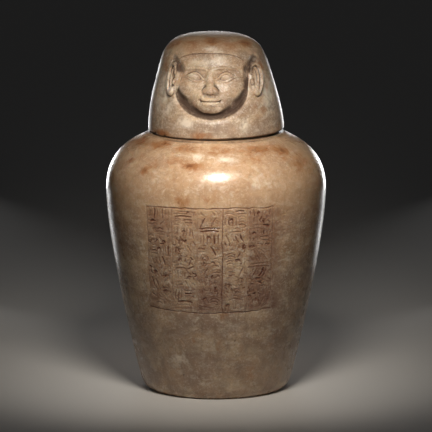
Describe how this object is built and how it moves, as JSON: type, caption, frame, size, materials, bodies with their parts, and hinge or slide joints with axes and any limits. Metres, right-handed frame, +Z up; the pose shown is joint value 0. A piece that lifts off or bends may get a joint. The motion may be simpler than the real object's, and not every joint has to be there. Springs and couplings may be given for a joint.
{
  "type": "canopic jar",
  "caption": "High-shouldered hollow stone jar with a human-headed stopper resting on its rim, made to hold wrapped contents.",
  "frame": {"origin": "centre of the jar's flat underside, on the surface it stands on", "axes": "+Z up along the jar's axis; the carved face and the inscribed panel look along -Y; +X is to the viewer's right when facing the front"},
  "size_m": [0.246, 0.246, 0.3999],
  "materials": {
    "jar_calcite": "polished honey-beige banded calcite with orange-brown iron stains on the shoulder",
    "head_calcite": "satin honey-beige calcite, browner in the carved hollows and stained orange on the crown"
  },
  "bodies": {
    "root": {"jar": "jar_calcite", "head_stopper": "head_calcite"}
  },
  "joints": []
}
